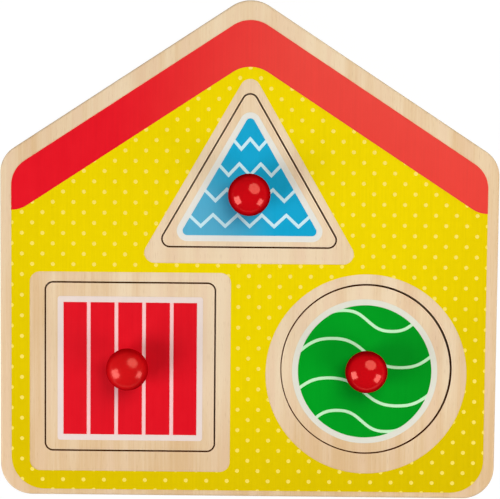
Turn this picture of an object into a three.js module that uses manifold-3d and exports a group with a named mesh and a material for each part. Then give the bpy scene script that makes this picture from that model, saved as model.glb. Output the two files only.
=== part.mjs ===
// A wooden house puzzle: a board of two glued sheets with a triangle, a square and a round piece that
// lift out by their knobs. Millimetres, +Z up. The board lies on its back with the gable towards +Y,
// and the origin is the middle of its underside.

import * as THREE from 'three';
import { mergeVertices } from 'three/addons/utils/BufferGeometryUtils.js';
import Module from 'manifold-3d';

const wasm = await Module();
wasm.setup();

// Driving dimensions, in millimetres and degrees

// Board: a front sheet with three recesses cut through it, and the back sheet that floors them
const boardWidth = 220;
const eaveHeight = 150.85; // from the bottom edge to where the wall and roof lines meet
const roofPitch = THREE.MathUtils.degToRad(33.24);
const footCornerRadius = 14;
const eaveCornerRadius = 13;
const ridgeCornerRadius = 15;
const sheetThickness = 6; // the loose pieces are cut out of the front sheet
const backThickness = 3;

// Recesses: the rails of wood left round them, and the gap that the saw leaves round each piece
const sideRail = 19.7;
const middleRail = 28.9;
const bottomRail = 19.9;
const crossRail = 15.6; // between the lower recesses and the triangle's
const pieceGap = 0.5;
const pieceCornerRadius = 3.25;
const triangleSide = 81.2; // between sharp corners, before they are rounded
const roundPieceLean = new THREE.Vector2(-0.2, -0.08); // how far off centre it lies within its gap

// Board print: yellow walls with bare borders round the recesses, and a red roof band
const inkThickness = 0.1;
const printMargin = 4.9; // bare wood along the sides and the bottom
const printFootRadius = 14.8;
const roofMargin = 5.45; // bare wood along the roof edges
const roofBandWidth = 17.05;
const roofEaveRadius = 13;
const roofRidgeRadius = 14;
const roofTipFlat = 3.8; // level run at the foot of each end of the band
const roofTipRounding = 0.95; // share of that run that is rounded into the slope
const wallPrintDrop = 2.3; // the print sits low on the cuts
const borderWidth = 6.65; // bare wood round the lower recesses
const triangleBorderWidth = 4.72;
const borderCornerRadius = 4.6;

// Piece prints: a white ground that shows as lines between coloured fields
const trianglePrintShift = new THREE.Vector2(0.2, -0.6); // each print sits a little off its middle
const squarePrintShift = new THREE.Vector2(0, -0.8);
const roundPrintShift = new THREE.Vector2(-0.37, -0.95);
const pieceMargin = 5.2; // bare wood round the square's and the round piece's print
const triangleMargin = 2.9;
const whiteBorder = 2.65;
const squareGroundRadius = 1.2;
const triangleFieldRadius = 2;
const barCount = 5;
const barPitch = 12.27;
const barLine = 1.68;
const zigzagCount = 4;
const zigzagLine = 1.42;
const zigzagRise = 5.05; // from valley to peak
const zigzagTopPitch = 8.78;
const zigzagPitchGrowth = 0.67; // each zigzag is this much wider than the one above it
const zigzagTopShrink = 0.89; // the top one is drawn at this share of that size
const zigzagTopValleys = 2; // each zigzag has one more valley than the one above it
const waveLine = 1.4;
const waveShoulder = 0.067; // share of the swing that broadens the crests and steepens the slopes
const waveSteps = 36;
const waveOverrun = 1.1; // the lines run a little past the disc's edge

// Heights, lengths and swings of the waves and places of the zigzags, as shares of the printed field
const waves = [
  { rise: 0.765, start: 0.037, length: 1.446, swing: 0.166 },
  { rise: 0.28, start: 0.02, length: 2.04, swing: 0.232 },
  { rise: -0.309, start: -0.017, length: 2.044, swing: 0.2225 },
  { rise: -0.75, start: -0.037, length: 1.474, swing: 0.1686 },
];
const zigzagTopShare = 0.753;
const zigzagStepShare = 0.2101;

// Knobs: a turned, flattened ball on a short foot, held by a screw from the back of the piece
const knobDiameter = 18.6;
const knobHeight = 15.2;
const knobFootDiameter = 10.4;
const knobFootHeight = 1.7;
const squareKnobOffset = -0.75; // the square's knob stands left of its middle
const screwDiameter = 2.9;
const screwHeadDiameter = 5.8;
const screwHeadHeight = 1.7;
const screwLength = 15;
const screwTipLength = 3;
const screwClearance = 0.3;
const crossRecessLength = 3;
const crossRecessWidth = 0.7;
const crossRecessDepth = 1;

// Smoothness of arcs
const cornerSteps = 4;
const circleSteps = 36;
const turnedSides = 30;
const ballSteps = 9;
const screwSides = 20;

// Finishes
const plywood = { color: 0xe3c49a, roughness: 0.55, metalness: 0 };
const yellowInk = { color: 0xeed400, roughness: 0.5, metalness: 0 };
const redInk = { color: 0xe51c26, roughness: 0.5, metalness: 0 };
const whiteInk = { color: 0xf4efe6, roughness: 0.5, metalness: 0 };
const blueInk = { color: 0x2ba0d2, roughness: 0.5, metalness: 0 };
const greenInk = { color: 0x0a9528, roughness: 0.5, metalness: 0 };
const redLacquer = { color: 0xc4060f, roughness: 0.15, metalness: 0 };
const zincSteel = { color: 0xb9bcc0, roughness: 0.35, metalness: 0.9 };

// Sizes and places that follow from these

const halfWidth = boardWidth / 2;
const roofSlope = Math.tan(roofPitch);
const roofStretch = 1 / Math.cos(roofPitch); // height that one unit square to the roof line spans
const ridgeHeight = eaveHeight + halfWidth * roofSlope;
const boardHeight = ridgeHeight - ridgeCornerRadius * (roofStretch - 1);

const recessWidth = (boardWidth - 2 * sideRail - middleRail) / 2;
const recessCornerRadius = pieceCornerRadius + pieceGap;
const lowerPieceSize = recessWidth - 2 * pieceGap;
const triangleInradius = triangleSide / (2 * Math.sqrt(3));
const lowerRowX = (middleRail + recessWidth) / 2;
const lowerRowY = bottomRail + recessWidth / 2;
const triangleY = bottomRail + recessWidth + crossRail + triangleInradius + pieceGap;

const trianglePlace = new THREE.Vector2(0, triangleY);
const squarePlace = new THREE.Vector2(-lowerRowX, lowerRowY);
const roundPlace = new THREE.Vector2(lowerRowX, lowerRowY);

const printSide = halfWidth - printMargin;
const bandTop = ridgeHeight - roofMargin * roofStretch - wallPrintDrop; // where its upper edges would meet
const bandEave = bandTop - printSide * roofSlope;

const boardTop = backThickness + sheetThickness;
const knobSeat = sheetThickness + 2 * inkThickness; // on the top coat, above the back of the piece
const screwHoleRadius = screwDiameter / 2 + screwClearance;

// Outlines

function addSharpCorner(outline, x, y) {
  if (outline.curves.length === 0) outline.moveTo(x, y);
  outline.lineTo(x, y);
}

// A closed outline with rounded corners, listed anticlockwise as [x, y, radius].
function roundedOutline(corners) {
  const outline = new THREE.Shape();
  corners.forEach(([x, y, radius], index) => {
    const corner = new THREE.Vector2(x, y);
    const [beforeX, beforeY] = corners.at(index - 1);
    const [afterX, afterY] = corners[(index + 1) % corners.length];
    const toBefore = new THREE.Vector2(beforeX, beforeY).sub(corner).normalize();
    const toAfter = new THREE.Vector2(afterX, afterY).sub(corner).normalize();
    if (radius === 0) {
      addSharpCorner(outline, x, y);
      return;
    }
    const halfAngle = toBefore.angleTo(toAfter) / 2;
    const run = radius / Math.tan(halfAngle);
    const inward = toBefore.clone().add(toAfter).setLength(radius / Math.sin(halfAngle));
    const centre = corner.clone().add(inward);
    const start = corner.clone().addScaledVector(toBefore, run).sub(centre);
    const end = corner.clone().addScaledVector(toAfter, run).sub(centre);
    const hollow = toBefore.cross(toAfter) > 0;
    outline.absarc(centre.x, centre.y, radius, start.angle(), end.angle(), hollow);
  });
  return outline;
}

function circleOutline(place, radius) {
  return new THREE.Shape().absarc(place.x, place.y, radius, 0, 2 * Math.PI, false);
}

function squareOutline(place, halfSide, radius) {
  return roundedOutline([
    [place.x - halfSide, place.y - halfSide, radius],
    [place.x + halfSide, place.y - halfSide, radius],
    [place.x + halfSide, place.y + halfSide, radius],
    [place.x - halfSide, place.y + halfSide, radius],
  ]);
}

// An equilateral triangle, point up, about the middle of its inscribed circle.
function triangleOutline(place, inradius, radius) {
  const halfBase = inradius * Math.sqrt(3);
  return roundedOutline([
    [place.x - halfBase, place.y - inradius, radius],
    [place.x + halfBase, place.y - inradius, radius],
    [place.x, place.y + 2 * inradius, radius],
  ]);
}

function houseOutline() {
  return roundedOutline([
    [-halfWidth, 0, footCornerRadius],
    [halfWidth, 0, footCornerRadius],
    [halfWidth, eaveHeight, eaveCornerRadius],
    [0, ridgeHeight, ridgeCornerRadius],
    [-halfWidth, eaveHeight, eaveCornerRadius],
  ]);
}

// Solids

// A closed geometry as a solid, without the collapsed triangles that a turned shape has on its axis.
function solidOf(geometry) {
  geometry.deleteAttribute('normal');
  geometry.deleteAttribute('uv');
  const merged = mergeVertices(geometry);
  const indices = merged.index.array;
  const triangles = [];
  for (let i = 0; i < indices.length; i += 3) {
    const [a, b, c] = indices.slice(i, i + 3);
    if (a !== b && b !== c && c !== a) triangles.push(a, b, c);
  }
  const vertProperties = merged.attributes.position.array;
  const triVerts = new Uint32Array(triangles);
  return new wasm.Manifold(new wasm.Mesh({ numProp: 3, vertProperties, triVerts }));
}

function geometryOf(solid) {
  const mesh = solid.getMesh();
  const geometry = new THREE.BufferGeometry();
  geometry.setAttribute('position', new THREE.BufferAttribute(mesh.vertProperties, 3));
  geometry.setIndex(new THREE.BufferAttribute(mesh.triVerts, 1));
  geometry.computeVertexNormals();
  return geometry;
}

// A flat plate of an outline, standing on z = bottom.
function plate(outline, thickness, bottom = 0, curveSegments = cornerSteps) {
  const settings = { depth: thickness, bevelEnabled: false, curveSegments };
  return solidOf(new THREE.ExtrudeGeometry(outline, settings).translate(0, 0, bottom));
}

// A solid turned about the Z axis from a profile of [radius, height] points, listed upwards.
function turned(profile, sides) {
  const points = profile.map(([radius, height]) => new THREE.Vector2(radius, height));
  return solidOf(new THREE.LatheGeometry(points, sides).rotateX(Math.PI / 2));
}

// Printed patterns

// A line of points moved sideways, to its left where the distance is positive, with mitred corners.
function parallelLine(points, distance) {
  return points.map((point, index) => {
    const before = points[Math.max(index - 1, 0)];
    const after = points[Math.min(index + 1, points.length - 1)];
    const intoPoint = (index > 0 ? point.clone().sub(before) : after.clone().sub(point)).normalize();
    const outOfPoint = (after === point ? intoPoint.clone() : after.clone().sub(point)).normalize();
    const along = intoPoint.add(outOfPoint).normalize();
    const mitre = distance / along.dot(outOfPoint);
    return new THREE.Vector2(point.x - along.y * mitre, point.y + along.x * mitre);
  });
}

// A line of points moved bodily to its left, or to its right where the distance is negative.
function movedLine(points, distance) {
  const run = points.at(-1).clone().sub(points[0]).normalize();
  return points.map((point) => new THREE.Vector2(point.x - run.y * distance, point.y + run.x * distance));
}

// The fields that remain of a plate when lines are left out of it. The lines run the same way, each lies
// to the right of the one before it, and reach takes the outer fields past the plate's edge.
function fieldsBetween(field, lines, lineWidth, reach, bottom) {
  const leftEdges = lines.map((line) => parallelLine(line, lineWidth / 2));
  const rightEdges = lines.map((line) => parallelLine(line, -lineWidth / 2));
  const starts = [movedLine(lines[0], reach), ...rightEdges];
  const ends = [...leftEdges, movedLine(lines.at(-1), -reach)];
  return starts.map((start, index) => {
    const strip = new THREE.Shape([...start, ...ends[index].toReversed()]);
    return field.intersect(plate(strip, inkThickness, bottom));
  });
}

// Upright lines between bars, spread evenly about the middle.
function barLines(place, halfSide) {
  return Array.from({ length: barCount - 1 }, (_, index) => {
    const x = place.x + (index - (barCount - 2) / 2) * barPitch;
    return [new THREE.Vector2(x, place.y - 2 * halfSide), new THREE.Vector2(x, place.y + 2 * halfSide)];
  });
}

// Zigzags from the top of a triangle down, with a peak or a valley in the middle by turns.
function zigzagLines(place, inradius) {
  const fieldHeight = 3 * inradius;
  const base = place.y - inradius;
  return Array.from({ length: zigzagCount }, (_, index) => {
    const drawnSize = index === 0 ? zigzagTopShrink : 1;
    const halfPitch = (drawnSize * (zigzagTopPitch + index * zigzagPitchGrowth)) / 2;
    const halfRise = (drawnSize * zigzagRise) / 2;
    const middle = base + (zigzagTopShare - index * zigzagStepShare) * fieldHeight;
    const peakInMiddle = (zigzagTopValleys + index) % 2 === 0;
    const turns = 2 * Math.ceil(fieldHeight / (2 * halfPitch));
    return Array.from({ length: 2 * turns + 1 }, (_, step) => {
      const isPeak = (step % 2 === 0) === peakInMiddle;
      const y = middle + (isPeak ? halfRise : -halfRise);
      return new THREE.Vector2(place.x + (step - turns) * halfPitch, y);
    });
  });
}

// Waves across a disc, each with a crest on the left and a trough on the right.
function waveLines(place, radius) {
  return waves.map(({ rise, start, length, swing }) =>
    Array.from({ length: waveSteps + 1 }, (_, step) => {
      const across = waveOverrun * (2 * step / waveSteps - 1);
      const turn = 2 * Math.PI * (across - start) / length;
      const y = rise - swing * (Math.sin(turn) + waveShoulder * Math.sin(3 * turn));
      return new THREE.Vector2(place.x + across * radius, place.y + y * radius);
    }),
  );
}

// Knobs and screws

function knobSolid() {
  const ballRadius = knobDiameter / 2;
  const footRadius = knobFootDiameter / 2;
  const footAngle = Math.asin(footRadius / ballRadius); // from the ball's lowest point to the foot's rim
  const ballHalfHeight = (knobHeight - knobFootHeight) / (1 + Math.cos(footAngle));
  const ballMiddle = knobHeight - ballHalfHeight;
  const screwReach = screwLength + screwClearance - knobSeat;
  const profile = [[0, screwReach], [screwHoleRadius, screwReach - screwTipLength], [screwHoleRadius, 0]];
  profile.push([footRadius, 0]);
  for (let step = 0; step < ballSteps; step += 1) {
    const angle = footAngle + (Math.PI - footAngle) * step / ballSteps;
    profile.push([ballRadius * Math.sin(angle), ballMiddle - ballHalfHeight * Math.cos(angle)]);
  }
  profile.push([0, knobHeight]);
  return turned(profile, turnedSides);
}

function screwSolid() {
  const shankRadius = screwDiameter / 2;
  const screw = turned(
    [
      [0, 0],
      [screwHeadDiameter / 2, 0],
      [shankRadius, screwHeadHeight],
      [shankRadius, screwLength - screwTipLength],
      [0, screwLength],
    ],
    screwSides,
  );
  const slot = new THREE.BoxGeometry(crossRecessLength, crossRecessWidth, 2 * crossRecessDepth);
  const crossSlot = slot.clone().rotateZ(Math.PI / 2);
  return screw.subtract(solidOf(slot)).subtract(solidOf(crossSlot));
}

// The hole that a knob's screw needs through a piece and its coats, wide at the back for the head.
function screwHole() {
  const headRadius = screwHeadDiameter / 2 + screwClearance;
  const throughCoats = knobSeat + screwClearance;
  return turned(
    [
      [0, -screwClearance],
      [headRadius, -screwClearance],
      [headRadius, 0],
      [screwHoleRadius, screwHeadHeight],
      [screwHoleRadius, throughCoats],
      [0, throughCoats],
    ],
    screwSides,
  );
}

// Assembly

const puzzle = new THREE.Group();

function addPiece(group, name, solid, finish) {
  const mesh = new THREE.Mesh(geometryOf(solid), new THREE.MeshStandardMaterial(finish));
  mesh.name = name;
  group.add(mesh);
  return mesh;
}

function without(solid, cutters) {
  return cutters.reduce((rest, cutter) => rest.subtract(cutter), solid);
}

// Cutters through the front sheet and its coats, as wide as the recesses and a border round them.
function recessCutters(triangleBorder, lowerBorder, cornerRadius, drop) {
  const inradius = triangleInradius + pieceGap + triangleBorder;
  const lowerHalf = recessWidth / 2 + lowerBorder;
  const through = 2 * sheetThickness;
  const cutters = [
    plate(triangleOutline(trianglePlace, inradius, cornerRadius), through, backThickness),
    plate(squareOutline(squarePlace, lowerHalf, cornerRadius), through, backThickness),
    plate(circleOutline(roundPlace, lowerHalf), through, backThickness, circleSteps),
  ];
  return cutters.map((cutter) => cutter.translate(0, -drop, 0));
}

function wallPrintOutline() {
  const foot = printMargin - wallPrintDrop;
  return roundedOutline([
    [-printSide, foot, printFootRadius],
    [printSide, foot, printFootRadius],
    [printSide, bandEave, roofEaveRadius],
    [0, bandTop, roofRidgeRadius],
    [-printSide, bandEave, roofEaveRadius],
  ]);
}

function roofPrintOutline() {
  const bandBottom = bandTop - roofBandWidth * roofStretch;
  const tipX = printSide - roofTipFlat;
  const tipY = bandBottom - tipX * roofSlope;
  const tipRadius = roofTipRounding * roofTipFlat / Math.tan(roofPitch / 2);
  return roundedOutline([
    [-printSide, tipY, 0],
    [-tipX, tipY, tipRadius],
    [0, bandBottom, roofRidgeRadius],
    [tipX, tipY, tipRadius],
    [printSide, tipY, 0],
    [printSide, bandEave, roofEaveRadius],
    [0, bandTop, roofRidgeRadius],
    [-printSide, bandEave, roofEaveRadius],
  ]);
}

function addBoard() {
  const board = new THREE.Group();
  const recesses = recessCutters(0, 0, recessCornerRadius, 0);
  const borders = recessCutters(triangleBorderWidth, borderWidth, borderCornerRadius, wallPrintDrop);
  const backSheet = plate(houseOutline(), backThickness);
  const frontSheet = plate(houseOutline(), sheetThickness, backThickness);
  const wallCoat = plate(wallPrintOutline(), inkThickness, boardTop);
  const roofCoat = plate(roofPrintOutline(), inkThickness, boardTop + inkThickness);
  addPiece(board, 'back_board', backSheet, plywood);
  addPiece(board, 'front_board', without(frontSheet, recesses), plywood);
  addPiece(board, 'wall_print', without(wallCoat, borders), yellowInk);
  addPiece(board, 'roof_print', without(roofCoat, borders), redInk);
  puzzle.add(board);
}

// A loose piece, its print, its knob and its screw, standing on the back board.
function addLoosePiece({ name, place, piece, ground, fields, fieldName, fieldInk, knobPlace }) {
  const group = new THREE.Group();
  group.position.set(place.x, place.y, backThickness);
  const hole = screwHole().translate(knobPlace.x, knobPlace.y, 0);
  addPiece(group, `${name}_piece`, piece.subtract(hole), plywood);
  addPiece(group, `${name}_white_print`, ground.subtract(hole), whiteInk);
  fields.forEach((field, index) => {
    addPiece(group, `${name}_${fieldName}_${index + 1}`, field.subtract(hole), fieldInk);
  });
  addPiece(group, `${name}_knob`, knobSolid(), redLacquer).position.set(knobPlace.x, knobPlace.y, knobSeat);
  addPiece(group, `${name}_screw`, screwSolid(), zincSteel).position.set(knobPlace.x, knobPlace.y, 0);
  puzzle.add(group);
}

const pieceMiddle = new THREE.Vector2(0, 0);
const groundBottom = sheetThickness;
const fieldBottom = sheetThickness + inkThickness;

function addTriangle() {
  const groundInradius = triangleInradius - triangleMargin;
  const fieldInradius = groundInradius - whiteBorder;
  const groundRadius = triangleFieldRadius + whiteBorder;
  const groundOutline = triangleOutline(trianglePrintShift, groundInradius, groundRadius);
  const fieldOutline = triangleOutline(trianglePrintShift, fieldInradius, triangleFieldRadius);
  const field = plate(fieldOutline, inkThickness, fieldBottom);
  const lines = zigzagLines(trianglePrintShift, fieldInradius);
  addLoosePiece({
    name: 'triangle',
    place: trianglePlace,
    piece: plate(triangleOutline(pieceMiddle, triangleInradius, pieceCornerRadius), sheetThickness),
    ground: plate(groundOutline, inkThickness, groundBottom),
    fields: fieldsBetween(field, lines, zigzagLine, 3 * fieldInradius, fieldBottom),
    fieldName: 'blue_band',
    fieldInk: blueInk,
    knobPlace: pieceMiddle,
  });
}

function addSquare() {
  const groundHalf = lowerPieceSize / 2 - pieceMargin;
  const fieldHalf = groundHalf - whiteBorder;
  const groundOutline = squareOutline(squarePrintShift, groundHalf, squareGroundRadius);
  const field = plate(squareOutline(squarePrintShift, fieldHalf, 0), inkThickness, fieldBottom);
  const lines = barLines(squarePrintShift, fieldHalf);
  addLoosePiece({
    name: 'square',
    place: squarePlace,
    piece: plate(squareOutline(pieceMiddle, lowerPieceSize / 2, pieceCornerRadius), sheetThickness),
    ground: plate(groundOutline, inkThickness, groundBottom),
    fields: fieldsBetween(field, lines, barLine, 2 * fieldHalf, fieldBottom),
    fieldName: 'red_bar',
    fieldInk: redInk,
    knobPlace: new THREE.Vector2(squareKnobOffset, 0),
  });
}

function addCircle() {
  const groundRadius = lowerPieceSize / 2 - pieceMargin;
  const fieldRadius = groundRadius - whiteBorder;
  const field = plate(circleOutline(roundPrintShift, fieldRadius), inkThickness, fieldBottom, circleSteps);
  const lines = waveLines(roundPrintShift, fieldRadius);
  addLoosePiece({
    name: 'circle',
    place: roundPlace.clone().add(roundPieceLean),
    piece: plate(circleOutline(pieceMiddle, lowerPieceSize / 2), sheetThickness, 0, circleSteps),
    ground: plate(circleOutline(roundPrintShift, groundRadius), inkThickness, groundBottom, circleSteps),
    fields: fieldsBetween(field, lines, waveLine, fieldRadius, fieldBottom),
    fieldName: 'green_field',
    fieldInk: greenInk,
    knobPlace: pieceMiddle,
  });
}

addBoard();
addTriangle();
addSquare();
addCircle();
puzzle.position.y = -boardHeight / 2;

export default puzzle;
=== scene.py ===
"""Looks of a wooden house puzzle: veneered plywood, printed inks and lacquered knobs.

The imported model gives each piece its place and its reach. Lengths are in metres. The board lies on its
back with the gable towards +Y, and the grain of the wood runs along Y.
"""

import logging
import math
from abc import ABC, abstractmethod
from collections.abc import Iterable, Sequence
from dataclasses import dataclass, field
from enum import Enum, IntEnum

import bmesh
import bpy
from mathutils import Matrix, Vector
from mathutils.geometry import tessellate_polygon


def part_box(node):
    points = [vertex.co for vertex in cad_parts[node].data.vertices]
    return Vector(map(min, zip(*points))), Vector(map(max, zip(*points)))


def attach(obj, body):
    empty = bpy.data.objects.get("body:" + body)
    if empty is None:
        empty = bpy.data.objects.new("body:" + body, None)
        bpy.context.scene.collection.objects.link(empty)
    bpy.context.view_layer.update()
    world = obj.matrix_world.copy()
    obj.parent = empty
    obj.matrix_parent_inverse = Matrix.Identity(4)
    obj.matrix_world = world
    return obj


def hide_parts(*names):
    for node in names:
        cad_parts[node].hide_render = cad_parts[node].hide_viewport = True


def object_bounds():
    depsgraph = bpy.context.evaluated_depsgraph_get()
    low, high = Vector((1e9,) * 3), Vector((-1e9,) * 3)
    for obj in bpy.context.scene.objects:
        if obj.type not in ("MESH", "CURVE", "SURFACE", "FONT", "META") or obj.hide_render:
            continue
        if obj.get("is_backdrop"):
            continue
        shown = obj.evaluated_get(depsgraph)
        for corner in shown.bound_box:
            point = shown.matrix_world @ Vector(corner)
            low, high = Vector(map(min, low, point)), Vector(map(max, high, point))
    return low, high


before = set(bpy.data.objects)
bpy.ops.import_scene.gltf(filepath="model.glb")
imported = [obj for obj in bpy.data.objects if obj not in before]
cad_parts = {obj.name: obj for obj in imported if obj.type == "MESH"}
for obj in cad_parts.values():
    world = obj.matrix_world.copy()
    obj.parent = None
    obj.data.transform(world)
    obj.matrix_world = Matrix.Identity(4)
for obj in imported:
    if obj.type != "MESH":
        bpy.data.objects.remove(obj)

CAD_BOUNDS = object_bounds()
LOG = logging.getLogger("house_puzzle")

Point = tuple[float, float]
Corner = tuple[float, float, float]
Cell = tuple[float, float, float]
Colour = tuple[float, float, float]
Ring = tuple[list[Point], float]

MM = 0.001
ARC_STEP = math.radians(5)
CIRCLE_STEPS = 144
EASE_STEPS = 5
FOOT_STEPS = 4
BALL_STEPS = 40
TURNED_SIDES = 72
SHARP_ANGLE = math.radians(40)
SLIVER = 0.002 * MM
SCREW_HOLE = 1.75 * MM
FIELD_COUNT = 5
WHITE: Colour = (1.0, 1.0, 1.0)


def srgb(red: int, green: int, blue: int) -> Colour:
    """A screen colour, 0 to 255 a channel, as the linear values that a shader takes."""
    shares = (channel / 255 for channel in (red, green, blue))
    return tuple(s / 12.92 if s <= 0.04045 else ((s + 0.055) / 1.055) ** 2.4 for s in shares)


# Shader and geometry nodes


class Socket:
    """One output of a node, on which Python's operators add Math nodes."""

    def __init__(self, graph: "Graph", output: bpy.types.NodeSocket) -> None:
        """Wraps an output of a node in a graph."""
        self.graph = graph
        self.output = output

    def other(self, name: str) -> "Socket":
        """Another output of the same node, by its name."""
        return Socket(self.graph, self.output.node.outputs[name])

    def axis(self, name: str) -> "Socket":
        """One axis of this vector."""
        return self.graph.node("ShaderNodeSeparateXYZ", None, {0: self}, name)

    def math(self, operation: str, *values: "Socket | float") -> "Socket":
        """A Math node's result for these values, in the order of its sockets."""
        return self.graph.node("ShaderNodeMath", {"operation": operation}, dict(enumerate(values)))

    def __add__(self, value: "Socket | float") -> "Socket":
        """This value plus another."""
        return self.math("ADD", self, value)

    def __radd__(self, value: float) -> "Socket":
        """Another value plus this one."""
        return self.math("ADD", value, self)

    def __sub__(self, value: "Socket | float") -> "Socket":
        """This value less another."""
        return self.math("SUBTRACT", self, value)

    def __rsub__(self, value: float) -> "Socket":
        """Another value less this one."""
        return self.math("SUBTRACT", value, self)

    def __mul__(self, value: "Socket | float") -> "Socket":
        """This value times another."""
        return self.math("MULTIPLY", self, value)

    def __rmul__(self, value: float) -> "Socket":
        """Another value times this one."""
        return self.math("MULTIPLY", value, self)

    def __truediv__(self, value: "Socket | float") -> "Socket":
        """This value divided by another."""
        return self.math("DIVIDE", self, value)

    def __mod__(self, value: "Socket | float") -> "Socket":
        """What is left of this value after whole steps of another."""
        return self.math("FLOORED_MODULO", self, value)

    def __abs__(self) -> "Socket":
        """This value without its sign."""
        return self.math("ABSOLUTE", self)

    def __round__(self) -> "Socket":
        """This value as the nearest whole number."""
        return self.math("ROUND", self)

    def larger(self, value: "Socket | float") -> "Socket":
        """The larger of this value and another."""
        return self.math("MAXIMUM", self, value)

    def between(self, low: float, high: float) -> "Socket":
        """A value that goes evenly from low, where this one is 0, to high, where it is 1."""
        return low + (high - low) * self

    def rising(self, start: float, end: float) -> "Socket":
        """A smooth step from 0 where this value is at start to 1 where it is at end."""
        ends = {"Value": self, "From Min": start, "From Max": end}
        return self.graph.node("ShaderNodeMapRange", {"interpolation_type": "SMOOTHSTEP"}, ends)


class Graph:
    """The node tree of a material, of the world or of a modifier."""

    def __init__(self, tree: bpy.types.NodeTree) -> None:
        """Empties a tree and wraps it."""
        self.tree = tree
        tree.nodes.clear()

    def _added(self, kind: str, settings: dict | None, sockets: dict | None) -> bpy.types.Node:
        """A new node with its settings, then its values and links.

        Args:
            kind: Type of the node.
            settings: Its own properties.
            sockets: Values or links of its inputs.

        Returns:
            The node.
        """
        node = self.tree.nodes.new(kind)
        for name, value in (settings or {}).items():
            setattr(node, name, value)
        for key, value in (sockets or {}).items():
            self._feed(node.inputs[key], value)
        return node

    def _feed(self, target: bpy.types.NodeSocket, value: object) -> None:
        """Links an input or sets its own value.

        Args:
            target: The input.
            value: A socket, a list of sockets or a plain value.
        """
        if isinstance(value, list):
            for link in value:
                self._feed(target, link)
        elif isinstance(value, Socket):
            self.tree.links.new(value.output, target)
        elif target.type == "RGBA":
            target.default_value = (*value, 1.0)
        else:
            target.default_value = value

    def node(
        self,
        kind: str,
        settings: dict[str, object] | None = None,
        sockets: dict[str | int, object] | None = None,
        result: str | int = 0,
    ) -> Socket:
        """Adds a node.

        Args:
            kind: Type of the node.
            settings: Its own properties, which are set first.
            sockets: Values or links of its inputs, by name or number. A list links several.
            result: Name or number of the output that is wanted.

        Returns:
            That output.
        """
        return Socket(self, self._added(kind, settings, sockets).outputs[result])

    def end(self, kind: str, sockets: dict[str | int, object]) -> None:
        """Adds the node that the tree ends in."""
        self._added(kind, None, sockets)

    def coordinates(self, kind: str = "Object") -> Socket:
        """A piece's own coordinates, or another output of that node."""
        return self.node("ShaderNodeTexCoord", result=kind)

    def place(self, cell: Cell, shift: float = 0.0) -> Socket:
        """The piece's own coordinates, counted in cells.

        Args:
            cell: Sides of a cell.
            shift: Cells that the count is moved by, so that patterns differ.

        Returns:
            A vector.
        """
        scale = tuple(1 / side for side in cell)
        sockets = {"Vector": self.coordinates(), "Location": (shift, shift, shift), "Scale": scale}
        return self.node("ShaderNodeMapping", None, sockets)

    def noise(self, where: Socket, detail: float, roughness: float) -> Socket:
        """Smooth noise from 0 to 1 with about one swing a cell."""
        sockets = {"Vector": where, "Scale": 1.0, "Detail": detail, "Roughness": roughness}
        return self.node("ShaderNodeTexNoise", None, sockets)

    def mix(self, share: Socket | float, first: Socket | Colour, second: Socket | Colour) -> Socket:
        """A colour between two, the second where share is 1."""
        # Mix nodes have sockets of the same names for other types, so the colours' go by number.
        return self.node("ShaderNodeMix", {"data_type": "RGBA"}, {0: share, 6: first, 7: second}, 2)

    def shaded(self, colour: Socket | Colour, light: Socket) -> Socket:
        """A colour made lighter or darker by a factor."""
        return self.node("ShaderNodeVectorMath", {"operation": "SCALE"}, {0: colour, "Scale": light})

    def bump(self, height: Socket, depth: float, strength: float) -> Socket:
        """A normal tilted by a relief of that depth."""
        sockets = {"Strength": strength, "Distance": depth, "Height": height}
        return self.node("ShaderNodeBump", None, sockets)

    def surface(self, sockets: dict[str, object]) -> Socket:
        """A Principled shader with these inputs."""
        return self.node("ShaderNodeBsdfPrincipled", None, sockets)

    def seen(self) -> Socket:
        """1 where the camera looks, straight or by way of a mirror or glass, and otherwise 0."""
        ray = self.node("ShaderNodeLightPath", result="Is Camera Ray")
        return ray.larger(ray.other("Is Glossy Ray")).larger(ray.other("Is Transmission Ray"))


# Finishes


@dataclass(frozen=True)
class Pattern:
    """Smooth noise in cells of a size, which is finer with more detail."""

    cell: Cell
    detail: float = 2.0
    roughness: float = 0.5
    shift: float = 0.0

    def over(self, graph: Graph) -> Socket:
        """The noise over a piece, from 0 to 1."""
        return graph.noise(graph.place(self.cell, self.shift), self.detail, self.roughness)


class Finish(ABC):
    """The look of one material of the puzzle."""

    name: str

    @abstractmethod
    def shade(self, graph: Graph) -> Socket:
        """Adds the nodes of this finish.

        Args:
            graph: The tree that they are added to.

        Returns:
            The shader.
        """

    def material(self) -> bpy.types.Material:
        """Makes the material of this finish, once.

        Returns:
            The material.
        """
        title = f"{self.name}_finish"
        material = bpy.data.materials.get(title)
        if material is None:
            material = bpy.data.materials.new(title)
            material.use_nodes = True
            graph = Graph(material.node_tree)
            graph.end("ShaderNodeOutputMaterial", {"Surface": self.shade(graph)})
        return material


@dataclass(frozen=True)
class Grain:
    """The grain of the face veneer, as it shows in bare wood and through the ink."""

    fibres: Pattern = Pattern((0.75 * MM, 38 * MM, 0.75 * MM), detail=3, roughness=0.65)
    figure: Pattern = Pattern((7.5 * MM, 120 * MM, 7.5 * MM))
    blush: Pattern = Pattern((7.5 * MM, 120 * MM, 7.5 * MM), shift=3.7)
    pores: Pattern = Pattern((0.3 * MM, 5 * MM, 0.3 * MM), detail=1)
    depth: float = 0.03 * MM


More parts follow.
